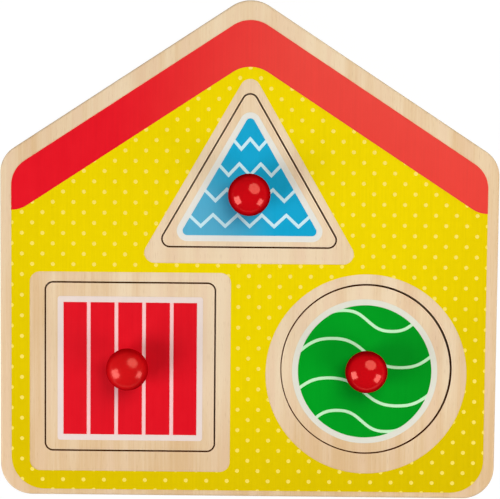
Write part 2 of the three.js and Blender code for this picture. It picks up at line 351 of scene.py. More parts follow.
@dataclass(frozen=True)
class Veneer(Finish):
    """Bare, sanded face veneer."""

    name: str = "face_veneer"
    grain: Grain = Grain()
    pale: Colour = srgb(240, 218, 184)
    tan: Colour = srgb(224, 188, 140)
    blush: Colour = srgb(234, 203, 170)
    pore: Colour = srgb(188, 144, 98)
    # Painted shade: a darker colour laid on the eased edges, where they turn away from the light.
    edge_shade: Colour = srgb(184, 156, 118)
    fibre_share: float = 0.35
    figure_share: float = 0.65
    falloff_share: float = 0.33
    tan_to_pale: Point = (0.37, 0.85)
    blush_share: float = 0.6
    blush_edge: Point = (0.45, 0.7)
    pore_share: float = 0.3
    pore_edge: Point = (0.62, 0.76)
    edge_shade_share: float = 0.7
    edge_shade_range: Point = (0.3, 0.97)
    # Painted light falloff: the tone is lifted in the middle of the board and lowered towards its bottom,
    # gable and sides.
    falloff_reach: float = 110 * MM
    falloff_middle: float = 0.1
    falloff_sides: float = 0.75
    falloff_foot: Point = (-0.95, -0.4)
    falloff_gable: Point = (0.2, 1.0)
    falloff_gable_share: float = 0.25
    roughness: Point = (0.62, 0.5)
    gloss: float = 0.35
    relief: float = 0.6

    def painted_falloff(self, graph: Graph) -> Socket:
        """Painted light falloff: the wood's tone made lighter in the middle of the board, as if lit there.

        Args:
            graph: The tree that its nodes are added to.

        Returns:
            0 along the bottom, up to 1 in the middle, and less towards the gable and the sides.
        """
        where = graph.place((self.falloff_reach, self.falloff_reach, self.falloff_reach))
        height = where.axis("Y")
        rise = height.rising(*self.falloff_foot) - self.falloff_gable_share * height.rising(*self.falloff_gable)
        return rise * (1 - self.falloff_sides * abs(where.axis("X") - self.falloff_middle))

    def shade(self, graph: Graph) -> Socket:
        """Streaks of two tones, a blush in broad bands and pores, with painted light falloff across the
        board and painted shade on the eased edges.

        Args:
            graph: The tree that its nodes are added to.

        Returns:
            The shader.
        """
        fibres = self.grain.fibres.over(graph)
        figure = self.grain.figure.over(graph)
        # Painted light: the falloff lightens the tone in the middle of the board.
        tone = self.fibre_share * fibres + self.figure_share * figure + self.falloff_share * self.painted_falloff(graph)
        colour = graph.mix(tone.rising(*self.tan_to_pale), self.tan, self.pale)
        blush = self.grain.blush.over(graph).rising(*self.blush_edge)
        colour = graph.mix(self.blush_share * blush, colour, self.blush)
        pores = self.grain.pores.over(graph).rising(*self.pore_edge)
        colour = graph.mix(self.pore_share * pores, colour, self.pore)
        # Painted shade: the colour darkens where the surface tilts from upright, on the eased edges.
        upright = abs(graph.coordinates("Normal").axis("Z"))
        colour = graph.mix(self.edge_shade_share * (1 - upright.rising(*self.edge_shade_range)), colour, self.edge_shade)
        return graph.surface(
            {
                "Base Color": colour,
                "Roughness": fibres.between(*self.roughness),
                "Specular IOR Level": self.gloss,
                "Normal": graph.bump(fibres, self.grain.depth, self.relief),
            }
        )


@dataclass(frozen=True)
class PlyEdge(Finish):
    """The edge of a plywood sheet, with plies whose grain runs along it and across it by turns."""

    name: str
    bottom: float
    ply: float
    streaks: Pattern = Pattern((9 * MM, 9 * MM, 0.22 * MM), detail=3, roughness=0.6)
    pits: Pattern = Pattern((0.3 * MM, 0.3 * MM, 0.5 * MM), detail=3, roughness=0.7)
    burn: Pattern = Pattern((0.8 * MM, 0.8 * MM, 6 * MM))
    long_grain: Colour = srgb(226, 192, 146)
    long_light: Point = (0.78, 1.18)
    end_grain: Colour = srgb(186, 142, 94)
    end_light: Point = (0.7, 1.3)
    ply_edge: Point = (0.47, 0.53)
    glue: Colour = srgb(128, 88, 52)
    glue_width: float = 0.07
    glue_share: float = 0.7
    char: Colour = srgb(104, 44, 6)
    scorch: float = 0.0
    scorch_light: Point = (0.75, 1.25)
    roughness: Point = (0.62, 0.82)
    gloss: float = 0.25
    depth: float = 0.05 * MM
    relief: float = 0.7

    def shade(self, graph: Graph) -> Socket:
        """Bands of long and end grain with glue lines, scorched where the sheet was cut.

        Args:
            graph: The tree that its nodes are added to.

        Returns:
            The shader.
        """
        plies = (graph.coordinates().axis("Z") - self.bottom) / self.ply
        crosswise = abs(plies % 2.0 - 1.0).rising(*self.ply_edge)
        glue = abs(plies % 1.0 - 0.5).rising(0.5 - self.glue_width, 0.5)
        streaks = self.streaks.over(graph)
        pits = self.pits.over(graph)
        along = graph.shaded(self.long_grain, streaks.between(*self.long_light))
        across = graph.shaded(self.end_grain, pits.between(*self.end_light))
        colour = graph.mix(crosswise, along, across)
        colour = graph.mix(self.glue_share * glue, colour, self.glue)
        burnt = self.scorch * self.burn.over(graph).between(*self.scorch_light)
        return graph.surface(
            {
                "Base Color": graph.mix(burnt, colour, self.char),
                "Roughness": pits.between(*self.roughness),
                "Specular IOR Level": self.gloss,
                "Normal": graph.bump(pits * crosswise + streaks, self.depth, self.relief),
            }
        )


@dataclass(frozen=True)
class PaintedLightPool:
    """Painted light: a coat's colour that changes slowly with the distance from a place on the board,
    standing in for light or sheen that falls unevenly.
    """

    centre: Point
    near: float
    far: float
    colour: Colour

    def over(self, graph: Graph, colour: Colour) -> Socket:
        """The colour of a coat whose painted light or sheen fades.

        Args:
            graph: The tree that its nodes are added to.
            colour: The coat's colour up to the near distance, with the painted light or sheen that falls
                there.

        Returns:
            That colour, which turns into this one at the far distance.
        """
        ends = {0: graph.coordinates(), 1: (*self.centre, 0.0)}
        distance = graph.node("ShaderNodeVectorMath", {"operation": "DISTANCE"}, ends, "Value")
        return graph.mix(distance.rising(self.near, self.far), colour, self.colour)


@dataclass(frozen=True)
class Ink(Finish):
    """A coat of printing ink, through which the fibres of the wood show faintly."""

    name: str
    colour: Colour
    sheen: Colour = WHITE
    # Painted light or sheen, which changes the coat's colour across the board.
    painted_light: PaintedLightPool | None = None
    grain: Grain = Grain()
    clouds: Pattern = Pattern((4 * MM, 7 * MM, 4 * MM), detail=3, roughness=0.6)
    fibre_light: float = 0.12
    cloud_light: float = 0.06
    roughness: float = 0.31
    fibre_roughness: float = 0.06
    cloud_roughness: float = 0.08
    relief: float = 0.25

    def shade(self, graph: Graph) -> Socket:
        """A colour with a trace of grain and of the print's uneven lay, and painted light or sheen where
        that is given.

        Args:
            graph: The tree that its nodes are added to.

        Returns:
            The shader.
        """
        # Painted light or sheen: the colour changes with the distance from a place on the board.
        colour = self.painted_light.over(graph, self.colour) if self.painted_light else self.colour
        fibres = self.grain.fibres.over(graph) - 0.5
        clouds = self.clouds.over(graph) - 0.5
        light = 1 + self.fibre_light * fibres + self.cloud_light * clouds
        return graph.surface(
            {
                "Base Color": graph.shaded(colour, light),
                "Roughness": self.roughness + self.fibre_roughness * fibres + self.cloud_roughness * clouds,
                "Specular Tint": self.sheen,
                "Normal": graph.bump(fibres, self.grain.depth, self.relief),
            }
        )


@dataclass(frozen=True)
class Lacquer(Finish):
    """Thick glossy lacquer on turned wood."""

    name: str = "red_lacquer"
    colour: Colour = srgb(212, 9, 20)
    # Painted shade: a darker red down the flanks, where the surface turns from the light, with a random
    # wobble in where it starts.
    flank_shade: Colour = srgb(142, 0, 6)
    flank_shade_range: Point = (0.45, 0.95)
    shade_wobble: Pattern = Pattern((5 * MM, 5 * MM, 3 * MM))
    shade_wobble_share: float = 0.2
    haze: Pattern = Pattern((2.5 * MM, 2.5 * MM, 2.5 * MM), detail=3)
    body_roughness: Point = (0.5, 0.7)
    skin: Colour = (0.9, 0.3, 0.24)
    skin_share: float = 0.083
    skin_edge: Point = (0.68, 0.77)
    roughness: float = 0.12
    roughness_spread: Point = (0.8, 1.2)
    ripples: Pattern = Pattern((1.4 * MM, 1.4 * MM, 1.4 * MM), detail=1)
    depth: float = 0.02 * MM
    relief: float = 0.25

    def shade(self, graph: Graph) -> Socket:
        """A colour with painted shade down the flanks, under a warm mirroring skin with faint ripples.

        Args:
            graph: The tree that its nodes are added to.

        Returns:
            The shader.
        """
        upright = graph.coordinates("Normal").axis("Z")
        # Painted shade: the red darkens down the flanks as the surface turns from upright.
        lit = (upright + self.shade_wobble_share * self.shade_wobble.over(graph)).rising(*self.flank_shade_range)
        haze = self.haze.over(graph)
        body = graph.surface(
            {
                "Base Color": graph.mix(lit, self.flank_shade, self.colour),
                "Roughness": haze.between(*self.body_roughness),
                "Specular IOR Level": 0.0,
            }
        )
        skin = graph.surface(
            {
                "Base Color": self.skin,
                "Metallic": 1.0,
                "Roughness": self.roughness * haze.between(*self.roughness_spread),
                "Normal": graph.bump(self.ripples.over(graph), self.depth, self.relief),
            }
        )
        shine = self.skin_share * upright.rising(*self.skin_edge)
        return graph.node("ShaderNodeMixShader", None, {0: shine, 1: body, 2: skin})


@dataclass(frozen=True)
class Zinc(Finish):
    """Bright zinc plating on a steel screw."""

    name: str = "zinc_plate"
    bright: Colour = srgb(206, 208, 212)
    dull: Colour = srgb(160, 162, 166)
    clouds: Pattern = Pattern((0.7 * MM, 0.7 * MM, 0.7 * MM), detail=3)
    metallic: Point = (0.9, 1.0)
    roughness: Point = (0.26, 0.46)
    marks: Pattern = Pattern((2 * MM, 2 * MM, 0.12 * MM))
    depth: float = 0.01 * MM
    relief: float = 0.4

    def shade(self, graph: Graph) -> Socket:
        """Metal with cloudy plating and fine turning marks.

        Args:
            graph: The tree that its nodes are added to.

        Returns:
            The shader.
        """
        clouds = self.clouds.over(graph)
        return graph.surface(
            {
                "Base Color": graph.mix(clouds, self.dull, self.bright),
                "Metallic": clouds.between(*self.metallic),
                "Roughness": clouds.between(*self.roughness),
                "Normal": graph.bump(self.marks.over(graph), self.depth, self.relief),
            }
        )


@dataclass(frozen=True)
class StudioFloor(Finish):
    """White table top that shows as the white background and keeps a trace of the shadow."""

    name: str = "studio_floor"
    colour: Colour = (0.84, 0.84, 0.84)
    white_share: float = 0.93
    glow: float = 1.03

    def shade(self, graph: Graph) -> Socket:
        """Matt white, mostly as bright as white paper where it is looked at or mirrored.

        Args:
            graph: The tree that its nodes are added to.

        Returns:
            The shader.
        """
        matt = graph.node("ShaderNodeBsdfDiffuse", None, {"Color": self.colour})
        white = graph.node("ShaderNodeEmission", None, {"Color": WHITE, "Strength": self.glow})
        share = self.white_share * graph.seen()
        return graph.node("ShaderNodeMixShader", None, {0: share, 1: matt, 2: white})


def white_ink(name: str, red: int, green: int, blue: int) -> Ink:
    """A tinted white ink, through which little of the grain shows."""
    return Ink(name, srgb(red, green, blue), fibre_light=0.05)


VENEER = Veneer()
FRONT_EDGE = PlyEdge("front_ply_edge", bottom=3 * MM, ply=1.2 * MM)
BACK_EDGE = PlyEdge("back_ply_edge", bottom=0.0, ply=1.0 * MM)
CUT_EDGE = PlyEdge("scorched_cut", bottom=3 * MM, ply=1.2 * MM, scorch=0.92, gloss=0.0)
# Painted light falloff: the yellow is painted darker further from the middle of the board, towards the
# bottom corners.
YELLOW_INK = Ink(
    "yellow_ink",
    srgb(243, 218, 2),
    sheen=(1.0, 0.9, 0.05),
    painted_light=PaintedLightPool((-4 * MM, 27 * MM), 60 * MM, 170 * MM, srgb(223, 195, 2)),
)
DOT_INK = Ink("dot_ink", srgb(255, 233, 100))
RED_INK = Ink("red_ink", srgb(230, 4, 28), roughness=0.33)
# Painted sheen: the listed red is lightened towards the right of the roof and turns into the plain red
# further off.
ROOF_INK = Ink(
    "roof_ink",
    srgb(237, 58, 47),
    roughness=0.33,
    painted_light=PaintedLightPool((60 * MM, 50 * MM), 45 * MM, 125 * MM, srgb(236, 4, 29)),
)
# Painted sheen: the listed blue is paler towards the triangle's lower left and turns into the plain blue
# further off.
BLUE_INK = Ink(
    "blue_ink",
    srgb(86, 178, 213),
    sheen=(0.6, 0.9, 1.0),
    painted_light=PaintedLightPool((-31 * MM, 4 * MM), 17 * MM, 47 * MM, srgb(10, 169, 215)),
)
# Painted light: the green is painted lighter towards the disc's left and darker further off.
GREEN_INK = Ink(
    "green_ink",
    srgb(0, 163, 32),
    sheen=(0.2, 1.0, 0.5),
    painted_light=PaintedLightPool((18 * MM, -50 * MM), 20 * MM, 80 * MM, srgb(0, 149, 26)),
)
COOL_WHITE_INK = white_ink("cool_white_ink", 235, 235, 228)
WARM_WHITE_INK = white_ink("warm_white_ink", 240, 224, 216)
PALE_WHITE_INK = white_ink("pale_white_ink", 231, 231, 217)
BLUISH_WHITE_INK = white_ink("bluish_white_ink", 208, 243, 252)
ROSY_WHITE_INK = white_ink("rosy_white_ink", 255, 208, 206)
GREENISH_WHITE_INK = white_ink("greenish_white_ink", 202, 250, 204)
LACQUER = Lacquer()
# Its second colour is the painted shade on the flanks.
SATIN_LACQUER = Lacquer(
    "satin_red_lacquer", srgb(218, 20, 24), srgb(174, 4, 12), skin_share=0.076, roughness=0.2
)
ZINC = Zinc()


# Outlines


class Outline(ABC):
    """A closed line in the plane of the board, listed anticlockwise."""

    @abstractmethod
    def points(self, grow: float = 0.0) -> list[Point]:
        """Points along the line.

        Args:
            grow: How far the line is moved outwards, or inwards where it is negative.

        Returns:
            The points, as many for any value of grow, so that rings of them can be joined.
        """


@dataclass(frozen=True)
class CircleOutline(Outline):
    """A full circle."""

    middle: Point
    radius: float
    steps: int = CIRCLE_STEPS

    def points(self, grow: float = 0.0) -> list[Point]:
        """Evenly spaced points on the circle.

        Args:
            grow: How much larger the radius is wanted.

        Returns:
            The points.
        """
        x, y = self.middle
        reach = self.radius + grow
        angles = (2 * math.pi * step / self.steps for step in range(self.steps))
        return [(x + reach * math.cos(angle), y + reach * math.sin(angle)) for angle in angles]


@dataclass(frozen=True)
class RoundedOutline(Outline):
    """A polygon whose corners are rounded, each given as x, y and radius. Radius 0 leaves a corner sharp."""

    corners: tuple[Corner, ...]

    def points(self, grow: float = 0.0) -> list[Point]:
        """Points round each corner's arc. Only an outline without sharp corners can grow."""
        numbers = range(len(self.corners))
        return [point for number in numbers for point in self._round(number, grow)]

    def _round(self, number: int, grow: float) -> list[Point]:
        """Points of one corner.

        Args:
            number: Place of the corner in the list.
            grow: How far its arc is moved outwards.

        Returns:
            The ends of the arc and points between them, or the sharp corner alone.
        """
        x, y, radius = self.corners[number]
        if radius == 0:
            return [(x, y)]
        corner = Vector((x, y))
        following = self.corners[(number + 1) % len(self.corners)]
        before = (Vector(self.corners[number - 1][:2]) - corner).normalized()
        after = (Vector(following[:2]) - corner).normalized()
        half_angle = before.angle(after) / 2
        centre = corner + (before + after).normalized() * (radius / math.sin(half_angle))
        start = corner + before * (radius / math.tan(half_angle)) - centre
        turn = -1 if before.cross(after) > 0 else 1
        sweep = turn * (math.pi - 2 * half_angle)
        steps = math.ceil(abs(sweep) / ARC_STEP)
        first = math.atan2(start.y, start.x)
        reach = radius + turn * grow
        return arc(centre, reach, first, first + sweep, steps)


def arc(centre: Sequence[float], radius: float, start: float, end: float, steps: int) -> list[Point]:
    """Points along an arc, its ends included, by angles from the first axis."""
    angles = (start + (end - start) * step / steps for step in range(steps + 1))
    return [(centre[0] + radius * math.cos(a), centre[1] + radius * math.sin(a)) for a in angles]


def square_outline(middle: Point, half_side: float, radius: float) -> RoundedOutline:
    """A square about its middle.

    Args:
        middle: Where it stands.
        half_side: Half of its side.
        radius: Radius of its corners.

    Returns:
        The outline.
    """
    x, y = middle
    signs = ((-1, -1), (1, -1), (1, 1), (-1, 1))
    return RoundedOutline(tuple((x + i * half_side, y + j * half_side, radius) for i, j in signs))


def triangle_outline(middle: Point, inradius: float, radius: float) -> RoundedOutline:
    """An equilateral triangle, point up.

    Args:
        middle: The middle of its inscribed circle.
        inradius: Radius of that circle, before the corners are rounded.
        radius: Radius of the corners.

    Returns:
        The outline.
    """
    x, y = middle
    half_base = inradius * math.sqrt(3)
    foot = y - inradius
    tip = y + 2 * inradius
    return RoundedOutline(((x - half_base, foot, radius), (x + half_base, foot, radius), (x, tip, radius)))


def shifted(points: Sequence[Point], distance: float) -> list[Point]:
    """A line moved sideways, to its left where the distance is positive, with mitred corners.

    Args:
        points: Points of the line.
        distance: How far it moves.

    Returns:
        The points of the moved line.
    """
    line = [Vector(point) for point in points]
    moved = []
    for number, point in enumerate(line):
        before = line[max(number - 1, 0)]
        after = line[min(number + 1, len(line) - 1)]
        into = (point - before).normalized() if number > 0 else (after - point).normalized()
        out_of = (after - point).normalized() if number < len(line) - 1 else into
        along = (into + out_of).normalized()
        mitre = distance / along.dot(out_of)
        moved.append((point.x - along.y * mitre, point.y + along.x * mitre))
    return moved


def bend(start: Point, corner: Point, end: Point) -> list[Point]:
    """A smooth line that leaves its start and meets its end in the direction of the corner between them.

    Args:
        start: Where the line starts.
        corner: Where the two directions meet.
        end: Where the line ends.

    Returns:
        The start and points after it, without the end.
    """
    shares = (step / EASE_STEPS for step in range(EASE_STEPS))
    weights = [((1 - s) ** 2, 2 * s * (1 - s), s * s) for s in shares]
    return [tuple(a * u + b * v + c * w for u, v, w in zip(start, corner, end)) for a, b, c in weights]


# Meshes


class Role(IntEnum):
    """Which of a sheet's finishes a face takes."""

    FACE = 0
    EDGE = 1
    CUT = 2


class Ground(IntEnum):
    """Which part of a white ground a face belongs to."""

    BORDER = 0
    LINES = 1


def link_object(name: str, data: bpy.types.ID | None) -> bpy.types.Object:
    """Adds an object at the origin of the scene.

    Args:
        name: Its name.
        data: Its mesh, lamp or camera.

    Returns:
        The object.
    """
    made = bpy.data.objects.new(name, data)
    bpy.context.scene.collection.objects.link(made)
    return made


def applied(made: bpy.types.Object) -> bpy.types.Mesh:
    """Applies an object's modifiers.

    Args:
        made: The object, which keeps the result and loses its modifiers.

    Returns:
        The resulting mesh.
    """
    depsgraph = bpy.context.evaluated_depsgraph_get()
    mesh = bpy.data.meshes.new_from_object(made.evaluated_get(depsgraph))
    made.modifiers.clear()
    made.data = mesh
    return mesh


def carved(mesh: bpy.types.Mesh, cutter: bpy.types.Mesh) -> bpy.types.Mesh:
    """What is left of a mesh when a cutter is taken away from it.

    Args:
        mesh: The closed mesh to cut.
        cutter: Closed shells that don't overlap.

    Returns:
        A new mesh.
    """
    target = link_object("carving", mesh)
    tool = link_object("cutter", cutter)
    modifier = target.modifiers.new("carve", "BOOLEAN")
    modifier.operation = "DIFFERENCE"
    modifier.solver = "EXACT"
    modifier.object = tool
    target.modifiers.new("weld slivers", "WELD").merge_threshold = SLIVER
    result = applied(target)
    bpy.data.objects.remove(target)
    bpy.data.objects.remove(tool)
    return result


class MeshMaker:
    """Makes a closed mesh from rings of points."""

    def __init__(self) -> None:
        """Starts with an empty mesh."""
        self.shape = bmesh.new()

    def ring(self, points: Iterable[Point], height: float) -> list[bmesh.types.BMVert]:
        """Vertices of an outline at a height."""
        return [self.shape.verts.new((x, y, height)) for x, y in points]

    def wall(self, lower: list[bmesh.types.BMVert], upper: list[bmesh.types.BMVert], role: IntEnum) -> None:
        """Joins two rings.

        Args:
            lower: The lower ring.
            upper: The upper ring, with as many vertices.
            role: Role of the faces between them.
        """
        for number, corner in enumerate(lower):
            before = number - 1
            face = self.shape.faces.new((lower[before], corner, upper[number], upper[before]))
            face.material_index = role
            face.smooth = True

    def cap(self, loops: list[list[bmesh.types.BMVert]], role: IntEnum) -> None:
        """Fills a ring.

        Args:
            loops: The ring, and the rings of the holes in it.
            role: Role of the faces.
        """
        corners = [corner for loop in loops for corner in loop]
        for triangle in tessellate_polygon([[corner.co for corner in loop] for loop in loops]):
            face = self.shape.faces.new([corners[number] for number in triangle])
            face.material_index = role

    def sheet(
        self, outer: list[Ring], holes: Sequence[list[Ring]], edge: Role, cut: Role, corner: Role = Role.FACE
    ) -> None:
        """A closed sheet.

        Args:
            outer: Rings up its outer edge, from the underside to the upper face.
            holes: Rings up the wall of each hole.
            edge: Role of the outer edge between its eased corners.
            cut: Role of the holes' walls.
            corner: Role of the outer edge's eased corners.
        """
        tops = []
        bottoms = []
        for rings, role, eased in [(outer, edge, corner), *((rings, cut, cut) for rings in holes)]:
            loops = [self.ring(points, height) for points, height in rings]
            straight = (len(loops) - 1) // 2
            for number, (lower, upper) in enumerate(zip(loops, loops[1:])):
                self.wall(lower, upper, role if number == straight else eased)
            bottoms.append(loops[0])
            tops.append(loops[-1])
        self.cap(bottoms, Role.FACE)
        self.cap(tops, Role.FACE)

    def mesh(self, name: str) -> bpy.types.Mesh:
        """Finishes the mesh, with its faces outwards.

        Args:
            name: Its name.

        Returns:
            The mesh.
        """
        bmesh.ops.recalc_face_normals(self.shape, faces=self.shape.faces)
        made = bpy.data.meshes.new(name)
        self.shape.to_mesh(made)
        self.shape.free()
        return made


def edge_rings(
    outline: Outline, span: Point, eases: Point, side: int = 1, grow: float = 0.0
) -> list[Ring]:
    """Rings up the edge of a sheet, drawn back where its corners are eased.

    Args:
        outline: The line that the edge follows.
        span: Heights of the sheet's underside and upper face.
        eases: Radii of the corners at the underside and at the upper face.
        side: 1 for the outside of a sheet, -1 for the wall of a hole.
        grow: How far outside the line the edge runs.

    Returns:
        An even number of rings, with the straight wall between the middle two.
    """
    bottom, top = span
    foot, head = eases
    angles = [math.pi / 2 * step / EASE_STEPS for step in range(EASE_STEPS + 1)]
    lower = [(foot * (1 - math.sin(a)), bottom + foot * (1 - math.cos(a))) for a in angles]
    upper = [(head * (1 - math.cos(a)), top - head * (1 - math.sin(a))) for a in angles]
    return [(outline.points(grow - side * inset), height) for inset, height in lower + upper]


def plate(outlines: Iterable[Sequence[Point]], span: Point, name: str) -> bpy.types.Mesh:
    """Flat plates with square edges.

    Args:
        outlines: Points of each plate's outline.
        span: Heights of their undersides and upper faces.
        name: Name of the mesh.

    Returns:
        One mesh with all the plates.
    """
    maker = MeshMaker()
    for points in outlines:
        maker.sheet([(points, height) for height in span], [], Role.FACE, Role.FACE)
    return maker.mesh(name)


def turned(profile: Sequence[Point], middle: Point, name: str) -> bpy.types.Mesh:
    """A shape turned about an upright axis.

    Args:
        profile: Radius and height of points along the profile, which starts and ends on the axis.
        middle: Where the axis stands.
        name: Name of the mesh.

    Returns:
        A closed mesh.
    """
    maker = MeshMaker()
    rings = [
        maker.ring(CircleOutline(middle, radius, TURNED_SIDES).points(), height)
        for radius, height in profile[1:-1]
    ]
    for lower, upper in zip(rings, rings[1:]):
        maker.wall(lower, upper, Role.FACE)
    for ring, (_, height) in ((rings[0], profile[0]), (rings[-1], profile[-1])):
        pole = maker.shape.verts.new((*middle, height))
        for number, corner in enumerate(ring):
            maker.shape.faces.new((ring[number - 1], corner, pole)).smooth = True
    return maker.mesh(name)


@dataclass(frozen=True)
class Reach:
    """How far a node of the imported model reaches."""

    low: Vector
    high: Vector

    @classmethod
    def of(cls, *nodes: str) -> "Reach":
        """Measures one node, or several together.

        Args:
            nodes: Their names.

        Returns:
            Their reach.
        """
        boxes = [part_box(node) for node in nodes]
        low = Vector(min(box[0][axis] for box in boxes) for axis in range(3))
        high = Vector(max(box[1][axis] for box in boxes) for axis in range(3))
        return cls(low, high)

    @property
    def middle(self) -> Point:
        """The middle, seen from above."""
        return ((self.low.x + self.high.x) / 2, (self.low.y + self.high.y) / 2)

    @property
    def half_width(self) -> float:
        """Half the reach along X."""
        return (self.high.x - self.low.x) / 2

    @property
    def span(self) -> Point:
        """Lowest and highest point."""
        return (self.low.z, self.high.z)


@dataclass(frozen=True)
class Piece:
    """A finished piece: its name, what it rides on, its slot and the nodes that it stands for."""

    name: str
    body: str
    slot: str
    nodes: tuple[str, ...] = ()

    def dress(self, mesh: bpy.types.Mesh, *finishes: Finish) -> None:
        """Makes the piece.

        Args:
            mesh: Its mesh, in place.
            finishes: A finish for each role of its faces.
        """
        mesh.name = self.name
        for finish in finishes:
            mesh.materials.append(finish.material())
        made = link_object(self.name, mesh)
        mesh.set_sharp_from_angle(angle=SHARP_ANGLE)
        made.modifiers.new("even_normals", "WEIGHTED_NORMAL").keep_sharp = True
        applied(made)
        self.settle(made)

    def settle(self, made: bpy.types.Object) -> None:
        """Ties an object to its body, hides the nodes that it stands for, and reports it.

        Args:
            made: The piece's object.
        """
        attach(made, self.body)
        self.slot
        if self.nodes:
            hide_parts(*self.nodes)
        LOG.info("%s rides on %s, %d faces", self.name, self.body, len(made.data.polygons))


# Knobs and screws


@dataclass(frozen=True)
class Knob:
    """A turned ball on a short foot, and the screw that holds it from the back of its piece."""

    name: str
    screw_body: str
    finish: Lacquer
    ball_radius: float = 9.3 * MM
    foot_radius: float = 5.2 * MM
    foot_height: float = 1.7 * MM
    foot_ease: float = 0.4 * MM
    neck_ease: float = 0.7 * MM
    hole_depth: float = 9.1 * MM
    hole_tip: float = 3 * MM
    head_rim: float = 0.15 * MM
    recess_length: float = 3 * MM
    recess_width: float = 0.7 * MM
    recess_tip_width: float = 0.5 * MM
    recess_depth: float = 1 * MM
    screw_shank: float = 1.45 * MM
    screw_head: float = 1.7 * MM
    screw_tip: float = 3 * MM

    def knob_profile(self, seat: float, top: float) -> list[Point]:
        """The knob's profile, from the end of its screw hole round the foot to its top.

        Args:
            seat: Height that the foot stands on.
            top: Height of the ball's top.

        Returns:
            Radius and height of each point.
        """
        foot_angle = math.asin(self.foot_radius / self.ball_radius)
        half_height = (top - seat - self.foot_height) / (1 + math.cos(foot_angle))
        first = foot_angle + self.neck_ease / self.ball_radius
        angles = [first + (math.pi - first) * step / BALL_STEPS for step in range(BALL_STEPS)]
        skin = [(self.ball_radius * math.sin(a), top - half_height * (1 + math.cos(a))) for a in angles]
        corner = (self.foot_radius, seat + self.foot_height)
        neck = bend((self.foot_radius, corner[1] - self.neck_ease), corner, skin[0])
        hole = [
            (0.0, seat + self.hole_depth),
            (SCREW_HOLE, seat + self.hole_depth - self.hole_tip),
            (SCREW_HOLE, seat),
        ]
        foot_centre = (self.foot_radius - self.foot_ease, seat + self.foot_ease)
        foot = arc(foot_centre, self.foot_ease, -math.pi / 2, 0, FOOT_STEPS)
        return [*hole, *foot, *neck, *skin, (0.0, top)]

    def screw_profile(self, reach: Reach) -> list[Point]:
        """The screw's profile, from the middle of its head to its point.

        Args:
            reach: How far the screw reaches.

        Returns:
            Radius and height of each point.
        """
        bottom, top = reach.span
        head = reach.half_width
        return [
            (0.0, bottom),
            (head - self.head_rim, bottom),
            (head, bottom + self.head_rim),
            (self.screw_shank, bottom + self.screw_head),
            (self.screw_shank, top - self.screw_tip),
            (0.0, top),
        ]

    def cross(self, middle: Point) -> list[Point]:
        """The cross in the screw's head, whose arms taper.

        Args:
            middle: Where the screw stands.

        Returns:
            The corners of the cross.
        """
        x, y = middle
        corners = []
        for dx, dy in ((1, 0), (0, 1), (-1, 0), (0, -1)):
            tip = Vector((dx, dy)) * (self.recess_length / 2)
            side = Vector((-dy, dx)) * (self.recess_tip_width / 2)
            corners += [tip - side, tip + side, Vector((dx - dy, dx + dy)) * (self.recess_width / 2)]
        return [(x + corner.x, y + corner.y) for corner in corners]

    def build_knob(self) -> None:
        """Makes the lacquered knob."""
        node = f"{self.name}_knob"
        reach = Reach.of(node)
        mesh = turned(self.knob_profile(*reach.span), reach.middle, node)
        Piece(f"{self.name}_turned_knob", self.name, "red_lacquer", (node,)).dress(mesh, self.finish)

    def build_screw(self) -> None:
        """Makes the countersunk screw with its cross recess."""
        node = f"{self.name}_screw"
        reach = Reach.of(node)
        head = reach.low.z
        depths = (head - self.recess_depth, head + self.recess_depth)
        recess = plate([self.cross(reach.middle)], depths, "recess")
        mesh = carved(turned(self.screw_profile(reach), reach.middle, node), recess)
        Piece(f"{self.name}_zinc_screw", self.screw_body, "zinc_steel", (node,)).dress(mesh, ZINC)


# Loose pieces


def numbered(stem: str) -> tuple[str, ...]:
    """The names of a piece's coloured nodes."""
    return tuple(f"{stem}_{number}" for number in range(1, FIELD_COUNT + 1))


